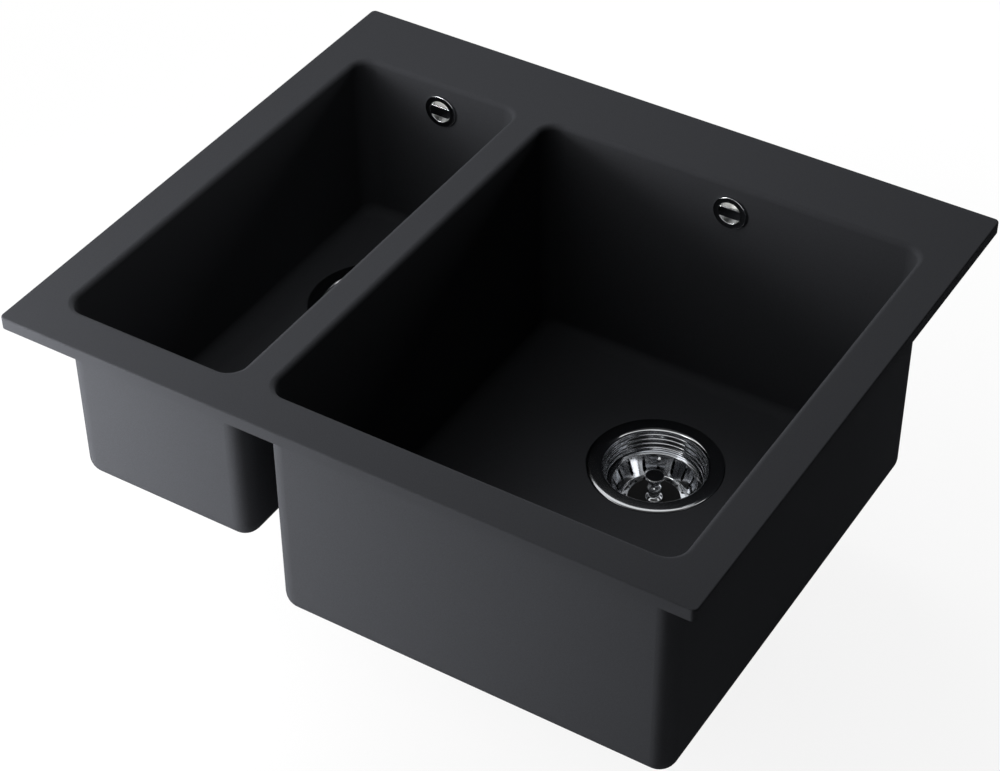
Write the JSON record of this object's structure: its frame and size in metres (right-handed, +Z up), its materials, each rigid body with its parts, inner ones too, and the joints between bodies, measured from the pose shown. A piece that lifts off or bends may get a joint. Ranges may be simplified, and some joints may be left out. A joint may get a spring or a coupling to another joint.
{
  "type": "double bowl kitchen sink",
  "caption": "Inset kitchen sink with a small and a large bowl in one black composite moulding, with lift-out basket strainers, overflows and wastes.",
  "frame": {"origin": "centre of the rim's outline, on the worktop's top, under the foam seal", "axes": "+X to the right, +Y to the back where the tap ledge is, +Z up"},
  "size_m": [0.59, 0.5, 0.2936],
  "materials": {
    "composite": "matt",
    "foam_seal": "matt",
    "chromed_steel": "polished",
    "stainless_steel": "plain",
    "brass": "plain",
    "rubber": "matt",
    "grey_plastic": "satin",
    "white_plastic": "satin"
  },
  "bodies": {
    "sink": {"sink_shell": "composite", "rim_seal": "foam_seal", "small_strainer_cup": "chromed_steel", "small_cup_seal": "rubber", "small_floor_seal": "rubber", "small_waste_body": "grey_plastic", "small_insert_nut": "brass", "small_clamp_screw": "stainless_steel", "small_overflow_cover": "chromed_steel", "small_overflow_seal": "rubber", "small_overflow_housing": "white_plastic", "small_overflow_pipe": "white_plastic", "small_overflow_elbow": "white_plastic", "small_elbow_washer": "rubber", "small_elbow_nut": "grey_plastic", "large_strainer_cup": "chromed_steel", "large_cup_seal": "rubber", "large_floor_seal": "rubber", "large_waste_body": "grey_plastic", "large_insert_nut": "brass", "large_clamp_screw": "stainless_steel", "large_overflow_cover": "chromed_steel", "large_overflow_seal": "rubber", "large_overflow_housing": "white_plastic", "large_overflow_pipe": "white_plastic", "large_overflow_elbow": "white_plastic", "large_elbow_washer": "rubber", "large_elbow_nut": "grey_plastic"},
    "small_basket_unit": {"small_basket": "chromed_steel", "small_basket_knob": "chromed_steel", "small_basket_stopper": "rubber"},
    "large_basket_unit": {"large_basket": "chromed_steel", "large_basket_knob": "chromed_steel", "large_basket_stopper": "rubber"}
  },
  "joints": [
    {"name": "small_basket_lift", "type": "slide", "parent": "sink", "child": "small_basket_unit", "axis": [0, 0, 1], "range_m": [0, 0.215]},
    {"name": "large_basket_lift", "type": "slide", "parent": "sink", "child": "large_basket_unit", "axis": [0, 0, 1], "range_m": [0, 0.27]}
  ]
}
